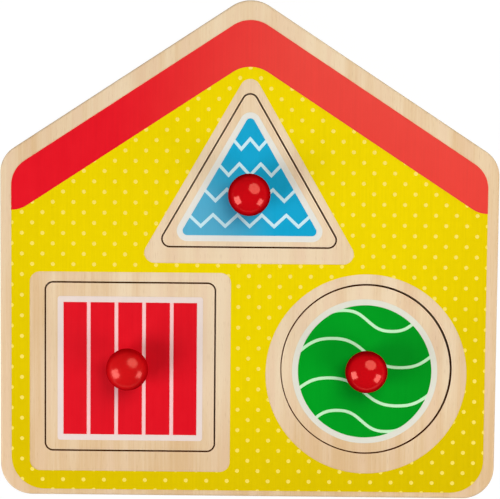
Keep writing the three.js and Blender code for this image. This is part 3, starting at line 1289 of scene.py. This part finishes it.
@dataclass
class LoosePiece(ABC):
    """A piece that lifts out of the board: its cut outline, its print and its knob."""

    name: str
    field_nodes: tuple[str, ...]
    field_ink: Ink
    border_ink: Ink
    line_ink: Ink
    knob_finish: Lacquer = LACQUER
    ease: float = 0.12 * MM
    white_border: float = 2.65 * MM
    head_radius: float = 3.2 * MM
    head_height: float = 1.7 * MM

    @abstractmethod
    def outline(self) -> Outline:
        """The line that the piece is cut along."""

    @abstractmethod
    def ground(self) -> Outline:
        """The outline of the white ground."""

    @abstractmethod
    def coloured(self) -> Outline:
        """The outline of the coloured print on it."""

    @abstractmethod
    def lines(self) -> list[list[Point]]:
        """The middles of the lines where the white ground shows between the colours."""

    @property
    @abstractmethod
    def line_width(self) -> float:
        """The width of those lines."""

    @property
    def screw_body(self) -> str:
        """The body that the screw rides on."""
        return self.name

    def screw_hole(self, radius: float = SCREW_HOLE) -> list[Point]:
        """Points round the hole that the screw passes, or round a wider one."""
        middle = Reach.of(f"{self.name}_screw").middle
        return CircleOutline(middle, radius, TURNED_SIDES).points()

    def build_wood(self) -> None:
        """Makes the piece of plywood, whose hole is wide at the back for the screw's head."""
        node = f"{self.name}_piece"
        bottom, top = Reach.of(node).span
        wide = self.screw_hole(self.head_radius)
        narrow = self.screw_hole()
        hole = [(wide, bottom), (narrow, bottom + self.head_height), (narrow, top)]
        outer = edge_rings(self.outline(), (bottom, top), (self.ease, self.ease))
        maker = MeshMaker()
        maker.sheet(outer, [hole], Role.EDGE, Role.EDGE, Role.EDGE)
        piece = Piece(f"{self.name}_ply_piece", self.name, "plywood", (node,))
        piece.dress(maker.mesh(node), VENEER, CUT_EDGE)

    def build_ground(self) -> None:
        """Makes the white ground, which is tinted where it shows as lines between the colours."""
        node = f"{self.name}_white_print"
        span = Reach.of(node).span
        maker = MeshMaker()
        rim = [maker.ring(self.ground().points(), height) for height in span]
        hole = [maker.ring(self.screw_hole(), height) for height in span]
        maker.wall(*rim, Ground.BORDER)
        maker.wall(*hole, Ground.LINES)
        within = maker.ring(self.coloured().points(), span[1])
        maker.cap([rim[0], hole[0]], Ground.BORDER)
        maker.cap([rim[1], within], Ground.BORDER)
        maker.cap([within, hole[1]], Ground.LINES)
        piece = Piece(f"{self.name}_white_ground", self.name, "white_ink", (node,))
        piece.dress(maker.mesh(node), self.border_ink, self.line_ink)

    def build_colours(self) -> None:
        """Makes the coloured fields between the lines."""
        bottom, top = Reach.of(*self.field_nodes).span
        maker = MeshMaker()
        outer = [(self.coloured().points(), height) for height in (bottom, top)]
        inner = [(self.screw_hole(), height) for height in (bottom, top)]
        maker.sheet(outer, [inner], Role.FACE, Role.FACE)
        ribbons = []
        for line in self.lines():
            far_side = shifted(line, self.line_width / 2)
            ribbons.append(shifted(line, -self.line_width / 2) + far_side[::-1])
        depth = top - bottom
        cutter = plate(ribbons, (bottom - depth, top + depth), "ribbons")
        slot = self.field_ink.name
        piece = Piece(f"{self.name}_{slot}_fields", self.name, slot, self.field_nodes)
        piece.dress(carved(maker.mesh("coat"), cutter), self.field_ink)

    def build(self) -> None:
        """Makes the piece, its print, its knob and its screw."""
        self.build_wood()
        self.build_ground()
        self.build_colours()
        knob = Knob(self.name, self.screw_body, self.knob_finish)
        knob.build_knob()
        knob.build_screw()


@dataclass
class Triangle(LoosePiece):
    """The triangle with blue bands split by zigzags."""

    name: str = "triangle"
    field_nodes: tuple[str, ...] = numbered("triangle_blue_band")
    field_ink: Ink = BLUE_INK
    border_ink: Ink = COOL_WHITE_INK
    line_ink: Ink = BLUISH_WHITE_INK
    corner_radius: float = 3.25 * MM
    ground_radius: float = 4.65 * MM
    zigzag_count: int = 4
    zigzag_line: float = 1.42 * MM
    zigzag_rise: float = 5.05 * MM
    zigzag_pitch: float = 8.78 * MM
    pitch_growth: float = 0.67 * MM
    top_shrink: float = 0.89
    top_share: float = 0.753
    step_share: float = 0.2101

    @property
    def line_width(self) -> float:
        """Width of the zigzags."""
        return self.zigzag_line

    def rounded(self, node: str, radius: float, inset: float = 0.0) -> tuple[Point, float]:
        """Middle and inradius of a node that is a triangle with rounded corners.

        Args:
            node: Name of the node.
            radius: Radius of its corners.
            inset: How much smaller the inradius is wanted.

        Returns:
            The middle and the inradius before the corners were rounded.
        """
        reach = Reach.of(node)
        inradius = (reach.high.y - reach.low.y + radius) / 3
        return (reach.middle[0], reach.low.y + inradius), inradius - inset

    def outline(self) -> Outline:
        """A triangle with rounded corners."""
        return triangle_outline(*self.rounded("triangle_piece", self.corner_radius), self.corner_radius)

    def ground(self) -> Outline:
        """A smaller triangle with rounder corners."""
        middle, inradius = self.rounded("triangle_white_print", self.ground_radius)
        return triangle_outline(middle, inradius, self.ground_radius)

    def field(self) -> tuple[Point, float]:
        """Middle and inradius of the coloured print."""
        return self.rounded("triangle_white_print", self.ground_radius, self.white_border)

    def coloured(self) -> Outline:
        """The ground less its white border."""
        return triangle_outline(*self.field(), self.ground_radius - self.white_border)

    def lines(self) -> list[list[Point]]:
        """Zigzags from the top down, with a peak or a valley in the middle by turns.

        Returns:
            The corners of each zigzag.
        """
        (x, y), inradius = self.field()
        height = 3 * inradius
        zigzags = []
        for number in range(self.zigzag_count):
            drawn_size = self.top_shrink if number == 0 else 1.0
            half_pitch = drawn_size * (self.zigzag_pitch + number * self.pitch_growth) / 2
            level = y - inradius + (self.top_share - number * self.step_share) * height
            rise = drawn_size * self.zigzag_rise / 2 * (1 if number % 2 == 0 else -1)
            turns = 2 * math.ceil(height / (2 * half_pitch))
            steps = range(-turns, turns + 1)
            zigzags.append([(x + s * half_pitch, level + (rise if s % 2 == 0 else -rise)) for s in steps])
        return zigzags


@dataclass
class Square(LoosePiece):
    """The square with red bars."""

    name: str = "square"
    field_nodes: tuple[str, ...] = numbered("square_red_bar")
    field_ink: Ink = RED_INK
    border_ink: Ink = WARM_WHITE_INK
    line_ink: Ink = ROSY_WHITE_INK
    knob_finish: Lacquer = SATIN_LACQUER
    corner_radius: float = 3.25 * MM
    ground_radius: float = 1.2 * MM

    @property
    def line_width(self) -> float:
        """The space between two bars."""
        first, second = (Reach.of(node) for node in self.field_nodes[:2])
        return second.low.x - first.high.x

    def around(self, radius: float, *nodes: str) -> Outline:
        """The square round some nodes, with corners of this radius."""
        reach = Reach.of(*nodes)
        return square_outline(reach.middle, reach.half_width, radius)

    def outline(self) -> Outline:
        """A square with rounded corners."""
        return self.around(self.corner_radius, "square_piece")

    def ground(self) -> Outline:
        """A smaller square with almost sharp corners."""
        return self.around(self.ground_radius, "square_white_print")

    def coloured(self) -> Outline:
        """A sharp square round all the bars."""
        return self.around(0.0, *self.field_nodes)

    def lines(self) -> list[list[Point]]:
        """Upright lines midway between the bars, and a little longer.

        Returns:
            The ends of each line.
        """
        bars = [Reach.of(node) for node in self.field_nodes]
        middles = [(left.high.x + right.low.x) / 2 for left, right in zip(bars, bars[1:])]
        past = self.line_width
        return [[(x, bars[0].low.y - past), (x, bars[0].high.y + past)] for x in middles]


@dataclass(frozen=True)
class Wave:
    """A wave across the disc, all its sizes as shares of the field's radius.

    Its shoulder is the share of the swing that broadens the crests and steepens the slopes.
    """

    rise: float
    start: float
    length: float
    swing: float
    shoulder: float = 0.067

    def height(self, across: float) -> float:
        """Height of the wave above the field's middle, at a place across from it."""
        turn = 2 * math.pi * (across - self.start) / self.length
        return self.rise - self.swing * (math.sin(turn) + self.shoulder * math.sin(3 * turn))


@dataclass
class Disc(LoosePiece):
    """The round piece with green fields split by waves."""

    name: str = "circle"
    field_nodes: tuple[str, ...] = numbered("circle_green_field")
    field_ink: Ink = GREEN_INK
    border_ink: Ink = PALE_WHITE_INK
    line_ink: Ink = GREENISH_WHITE_INK
    wave_line: float = 1.4 * MM
    wave_steps: int = 120
    overrun: float = 1.1
    waves: tuple[Wave, ...] = (
        Wave(0.765, 0.037, 1.446, 0.166),
        Wave(0.28, 0.02, 2.04, 0.232),
        Wave(-0.309, -0.017, 2.044, 0.2225),
        Wave(-0.75, -0.037, 1.474, 0.1686),
    )

    @property
    def screw_body(self) -> str:
        """The body that is lifted, about whose screw the disc turns."""
        return "circle_lifter"

    @property
    def line_width(self) -> float:
        """Width of the waves."""
        return self.wave_line

    def around(self, node: str, inset: float = 0.0) -> CircleOutline:
        """The circle round a node, or one a little smaller."""
        reach = Reach.of(node)
        return CircleOutline(reach.middle, reach.half_width - inset)

    def outline(self) -> Outline:
        """A circle."""
        return self.around("circle_piece")

    def ground(self) -> Outline:
        """A smaller circle."""
        return self.around("circle_white_print")

    def coloured(self) -> CircleOutline:
        """The ground less its white border."""
        return self.around("circle_white_print", self.white_border)

    def lines(self) -> list[list[Point]]:
        """Waves from the top down, each with a crest on the left and a trough on the right.

        Returns:
            Points along each wave.
        """
        x, y = self.coloured().middle
        radius = self.coloured().radius
        across = [self.overrun * (2 * step / self.wave_steps - 1) for step in range(self.wave_steps + 1)]
        return [
            [(x + share * radius, y + wave.height(share) * radius) for share in across]
            for wave in self.waves
        ]


# Board


@dataclass
class DotLattice:
    """The staggered rows of dots on the yellow walls."""

    pitch: float = 9.138 * MM
    row_pitch: float = 4.594 * MM
    origin: Point = (4.65 * MM, 2.6 * MM)
    radius: float = 0.88 * MM
    thickness: float = 0.06 * MM
    sides: int = 16
    columns: int = 27
    rows: int = 51

    def inputs(self, height: float) -> dict[str, tuple[str, object]]:
        """The named inputs of the tree.

        Args:
            height: Height of the coat that the dots are printed on.

        Returns:
            Type and value of each input.
        """
        return {
            "Pitch": ("NodeSocketFloat", self.pitch),
            "Row Pitch": ("NodeSocketFloat", self.row_pitch),
            "Columns": ("NodeSocketInt", self.columns),
            "Rows": ("NodeSocketInt", self.rows),
            "Origin": ("NodeSocketVector", (*self.origin, height)),
            "Radius": ("NodeSocketFloat", self.radius),
            "Thickness": ("NodeSocketFloat", self.thickness),
            "Sides": ("NodeSocketInt", self.sides),
            "Ink": ("NodeSocketMaterial", DOT_INK.material()),
        }

    def tree(self, inputs: dict[str, tuple[str, object]]) -> bpy.types.NodeTree:
        """Makes a geometry tree that turns a closed mould into the dots that lie within it.

        Args:
            inputs: Its inputs besides the mould.

        Returns:
            The tree.
        """
        tree = bpy.data.node_groups.new("dot_lattice", "GeometryNodeTree")
        tree.interface.new_socket("Mould", in_out="INPUT", socket_type="NodeSocketGeometry")
        for name, (kind, _) in inputs.items():
            tree.interface.new_socket(name, in_out="INPUT", socket_type=kind)
        tree.interface.new_socket("Dots", in_out="OUTPUT", socket_type="NodeSocketGeometry")
        graph = Graph(tree)
        mould = graph.node("NodeGroupInput", result="Mould")
        pitch, row_pitch, columns, rows = (
            mould.other(name) for name in ("Pitch", "Row Pitch", "Columns", "Rows")
        )
        grid_sizes = {
            "Size X": (columns - 1) * pitch,
            "Size Y": (rows - 1) * row_pitch,
            "Vertices X": columns,
            "Vertices Y": rows,
        }
        grid = graph.node("GeometryNodeMeshGrid", None, grid_sizes)
        row = round(graph.node("GeometryNodeInputPosition").axis("Y") / row_pitch)
        stagger = row % 2.0 * pitch * 0.5
        step = graph.node("ShaderNodeCombineXYZ", None, {"X": stagger})
        ends = {0: step, 1: mould.other("Origin")}
        offset = graph.node("ShaderNodeVectorMath", {"operation": "ADD"}, ends)
        spots = graph.node("GeometryNodeSetPosition", None, {"Geometry": grid, "Offset": offset})
        dot_sizes = {
            "Vertices": mould.other("Sides"),
            "Radius": mould.other("Radius"),
            "Depth": mould.other("Thickness"),
        }
        dot = graph.node("GeometryNodeMeshCylinder", None, dot_sizes)
        dots = graph.node("GeometryNodeInstanceOnPoints", None, {"Points": spots, "Instance": dot})
        real = graph.node("GeometryNodeRealizeInstances", None, {"Geometry": dots})
        clipping = {"operation": "INTERSECT", "solver": "MANIFOLD"}
        clipped = graph.node("GeometryNodeMeshBoolean", clipping, {"Mesh 2": [real, mould]})
        ink = {"Geometry": clipped, "Material": mould.other("Ink")}
        graph.end("NodeGroupOutput", {"Dots": graph.node("GeometryNodeSetMaterial", None, ink)})
        return tree

    def fill(self, mould: bpy.types.Object, height: float) -> None:
        """Turns a mould into dots.

        Args:
            mould: Object whose closed mesh holds the dots.
            height: Height of the coat that the dots are printed on.
        """
        inputs = self.inputs(height)
        modifier = mould.modifiers.new("dots", "NODES")
        modifier.node_group = self.tree(inputs)
        for item in modifier.node_group.interface.items_tree:
            if item.name in inputs:
                modifier[item.identifier] = inputs[item.name][1]
        applied(mould)


@dataclass
class HouseBoard:
    """The board: two glued sheets, with three recesses and a printed front."""

    triangle: Triangle
    square: Square
    roof_pitch: float = math.radians(33.24)
    foot_radius: float = 14 * MM
    eave_radius: float = 13 * MM
    ridge_radius: float = 15 * MM
    outer_round: float = 1.0 * MM
    joint_ease: float = 0.12 * MM
    recess_gap: float = 0.5 * MM
    print_foot_radius: float = 14.8 * MM
    print_eave_radius: float = 13 * MM
    print_ridge_radius: float = 14 * MM
    band_width: float = 17.05 * MM
    tip_flat: float = 3.8 * MM
    tip_rounding: float = 0.95
    border: float = 6.65 * MM
    triangle_border: float = 4.72 * MM
    border_radius: float = 4.6 * MM
    print_drop: float = 2.3 * MM
    dots: DotLattice = field(default_factory=DotLattice)

    @property
    def stretch(self) -> float:
        """The height that one unit square to the roof line spans."""
        return 1 / math.cos(self.roof_pitch)

    def gable(self, reach: Reach, ridge_radius: float) -> Point:
        """Heights of the sharp eaves and ridge of a house shape.

        Args:
            reach: How far the shape reaches with its rounded ridge.
            ridge_radius: Radius of that ridge.

        Returns:
            Where wall and roof lines meet, and where the roof lines meet.
        """
        ridge = reach.high.y + ridge_radius * (self.stretch - 1)
        return ridge - reach.half_width * math.tan(self.roof_pitch), ridge

    def house(self, node: str, foot: float, eave: float, ridge: float) -> RoundedOutline:
        """The house shape of a node.

        Args:
            node: Name of the node.
            foot: Radius of its lower corners.
            eave: Radius of the corners between walls and roof.
            ridge: Radius of the upper corner.

        Returns:
            The outline.
        """
        reach = Reach.of(node)
        eave_height, ridge_height = self.gable(reach, ridge)
        half = reach.half_width
        return RoundedOutline(
            (
                (-half, reach.low.y, foot),
                (half, reach.low.y, foot),
                (half, eave_height, eave),
                (0.0, ridge_height, ridge),
                (-half, eave_height, eave),
            )
        )

    def outline(self) -> RoundedOutline:
        """The outline of both sheets."""
        return self.house("front_board", self.foot_radius, self.eave_radius, self.ridge_radius)

    def wall_outline(self) -> RoundedOutline:
        """The outline of the yellow coat, before the borders are left out."""
        radii = (self.print_foot_radius, self.print_eave_radius, self.print_ridge_radius)
        return self.house("wall_print", *radii)

    def roof_outline(self) -> RoundedOutline:
        """The red band under the roof's edge, whose tips run out almost level.

        Returns:
            The outline.
        """
        reach = Reach.of("roof_print")
        eave, ridge = self.gable(reach, self.print_ridge_radius)
        half = reach.half_width
        tip = reach.low.y
        shoulder = half - self.tip_flat
        tip_radius = self.tip_rounding * self.tip_flat / math.tan(self.roof_pitch / 2)
        return RoundedOutline(
            (
                (-half, tip, 0.0),
                (-shoulder, tip, tip_radius),
                (0.0, ridge - self.band_width * self.stretch, self.print_ridge_radius),
                (shoulder, tip, tip_radius),
                (half, tip, 0.0),
                (half, eave, self.print_eave_radius),
                (0.0, ridge, self.print_ridge_radius),
                (-half, eave, self.print_eave_radius),
            )
        )

    def round_recess(self) -> CircleOutline:
        """The round piece in the middle of its recess, which mirrors the square's.

        Returns:
            The outline of the piece.
        """
        reach = Reach.of("square_piece")
        x, y = reach.middle
        return CircleOutline((-x, y), reach.half_width)

    def borders(self) -> list[list[Point]]:
        """The bare borders round the recesses, which the print leaves out a little too low.

        Returns:
            Points of their outlines.
        """
        middle, inradius = self.triangle.rounded("triangle_piece", self.triangle.corner_radius)
        square = Reach.of("square_piece")
        disc = self.round_recess()
        reach = self.recess_gap + self.border
        triangle_reach = self.recess_gap + self.triangle_border
        outlines = (
            triangle_outline(middle, inradius + triangle_reach, self.border_radius),
            square_outline(square.middle, square.half_width + reach, self.border_radius),
            CircleOutline(disc.middle, disc.radius + reach),
        )
        return [[(x, y - self.print_drop) for x, y in outline.points()] for outline in outlines]

    def build_sheets(self) -> None:
        """Makes the front sheet with its recesses and the back sheet behind it."""
        front = MeshMaker()
        span = Reach.of("front_board").span
        outer = edge_rings(self.outline(), span, (self.joint_ease, self.outer_round))
        eases = (self.joint_ease, self.joint_ease)
        holes = []
        for outline in (self.triangle.outline(), self.square.outline(), self.round_recess()):
            holes.append(edge_rings(outline, span, eases, side=-1, grow=self.recess_gap))
        front.sheet(outer, holes, Role.EDGE, Role.CUT)
        piece = Piece("front_ply_sheet", "board", "plywood", ("front_board",))
        piece.dress(front.mesh("front"), VENEER, FRONT_EDGE, CUT_EDGE)
        back = MeshMaker()
        rings = edge_rings(self.outline(), Reach.of("back_board").span, (self.outer_round, self.joint_ease))
        back.sheet(rings, [], Role.EDGE, Role.EDGE)
        piece = Piece("back_ply_sheet", "board", "plywood", ("back_board",))
        piece.dress(back.mesh("back"), VENEER, BACK_EDGE)

    def build_print(self) -> None:
        """Makes the yellow walls, the red band and the dots."""
        bottom, top = Reach.of("wall_print").span
        depth = top - bottom
        through = (bottom - depth, top + 2 * depth)
        wall_points = self.wall_outline().points()
        roof_points = self.roof_outline().points()
        borders = plate(self.borders(), through, "borders")
        walls = carved(plate([wall_points], (bottom, top), "walls"), borders)
        Piece("yellow_walls", "board", "yellow_ink", ("wall_print",)).dress(walls, YELLOW_INK)
        roof = carved(plate([roof_points], Reach.of("roof_print").span, "roof"), borders)
        Piece("red_roof_band", "board", "red_ink", ("roof_print",)).dress(roof, ROOF_INK)
        mould = carved(plate([wall_points], (bottom, top + depth), "mould"), borders)
        band = plate([roof_points], through, "band")
        dots = link_object("wall_dots", carved(mould, band))
        self.dots.fill(dots, top)
        Piece("wall_dots", "board", "white_ink").settle(dots)

    def build(self) -> None:
        """Makes the sheets and their print."""
        self.build_sheets()
        self.build_print()


# Studio


class LampShape(Enum):
    """The outline of a lamp's diffuser."""

    RECTANGLE = "RECTANGLE"
    ELLIPSE = "ELLIPSE"


@dataclass(frozen=True)
class Softbox:
    """A lamp behind a diffuser, which faces the board."""

    name: str
    towards: tuple[float, float, float]
    distance: float
    width: float
    height: float
    brightness: float
    tint: Colour
    shape: LampShape = LampShape.RECTANGLE

    def build(self, aim: Vector) -> None:
        """Hangs the lamp.

        Args:
            aim: The point that it faces.
        """
        lamp = bpy.data.lights.new(self.name, "AREA")
        lamp.shape = self.shape.value
        lamp.size = self.width
        lamp.size_y = self.height
        lamp.color = self.tint
        lamp.energy = self.brightness * math.pi * self.width * self.height
        hung = link_object(self.name, lamp)
        direction = Vector(self.towards).normalized()
        hung.location = aim + direction * self.distance
        hung.rotation_euler = direction.to_track_quat("Z", "Y").to_euler()
        LOG.info("%s hangs %.2f m away", self.name, self.distance)


@dataclass(frozen=True)
class Studio:
    """The white table, the lamps and the camera, which looks almost straight down."""

    aim: Point = (0.461 * MM, 0.658 * MM)
    distance: float = 0.85
    lens: float = 138.54
    nearest: float = 0.01
    pitch: float = math.radians(4.8379)
    yaw: float = math.radians(-0.4915)
    roll: float = math.radians(-0.5322)
    floor_reach: float = 30.0
    floor_depth: float = 1 * MM
    ambient: float = 0.03
    horizon: Point = (0.03, 0.1)
    softboxes: tuple[Softbox, ...] = (
        Softbox(
            "umbrella", (0.38, 0.51, 0.77), 0.7, 0.64, 0.64, 2.8, (1.0, 0.96, 0.88), LampShape.ELLIPSE
        ),
        Softbox("left_softbox", (-0.80, -0.36, 0.47), 0.6, 0.33, 0.36, 6.85, (1.0, 1.0, 1.05)),
        Softbox("right_softbox", (0.76, -0.47, 0.45), 0.55, 0.26, 0.26, 5.6, (1.0, 1.0, 1.05)),
    )

    def build_camera(self, top: float) -> None:
        """Sets the camera up over the board.

        Args:
            top: Height of the board's upper face.
        """
        lens = bpy.data.cameras.new("photo_camera")
        lens.lens = self.lens
        lens.clip_start = self.nearest
        camera = link_object("photo_camera", lens)
        turn = (
            Matrix.Rotation(self.roll, 3, "Z")
            @ Matrix.Rotation(self.yaw, 3, "Y")
            @ Matrix.Rotation(self.pitch, 3, "X")
        ).transposed()
        stand = Vector((*self.aim, top)) + turn @ Vector((0, 0, self.distance))
        camera.matrix_world = Matrix.Translation(stand) @ turn.to_4x4()
        bpy.context.scene.camera = camera
        LOG.info("camera stands at %s", tuple(round(value, 4) for value in stand))

    def build_floor(self) -> None:
        """Lays the table that the board lies on."""
        outline = CircleOutline((0.0, 0.0), self.floor_reach)
        mesh = plate([outline.points()], (-self.floor_depth, 0.0), "studio_floor")
        mesh.materials.append(StudioFloor().material())
        link_object("studio_floor", mesh)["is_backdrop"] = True

    def build_world(self) -> None:
        """Dims the room, and leaves it white towards the horizon where that is looked at."""
        world = bpy.data.worlds.new("studio_room")
        world.use_nodes = True
        bpy.context.scene.world = world
        graph = Graph(world.node_tree)
        low = 1 - graph.coordinates("Generated").axis("Z").rising(*self.horizon)
        strength = (graph.seen() * low).between(self.ambient, 1.0)
        room = graph.node("ShaderNodeBackground", None, {"Color": WHITE, "Strength": strength})
        graph.end("ShaderNodeOutputWorld", {"Surface": room})

    def build(self, top: float) -> None:
        """Makes the table, the room, the lamps and the camera.

        Args:
            top: Height of the board's upper face.
        """
        self.build_camera(top)
        self.build_floor()
        self.build_world()
        for softbox in self.softboxes:
            softbox.build(Vector((0.0, 0.0, top)))
        bpy.context.scene.view_settings.view_transform = "Standard"


def main() -> None:
    """Builds the puzzle and its studio."""
    logging.basicConfig(level=logging.INFO, format="%(name)s: %(message)s")
    triangle = Triangle()
    square = Square()
    HouseBoard(triangle, square).build()
    for piece in (triangle, square, Disc()):
        piece.build()
    Studio().build(Reach.of("front_board").high.z)
    boxes = {"cad": CAD_BOUNDS, "visual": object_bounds()}
    plain = {name: [list(corner) for corner in box] for name, box in boxes.items()}


if __name__ == "__main__":
    main()
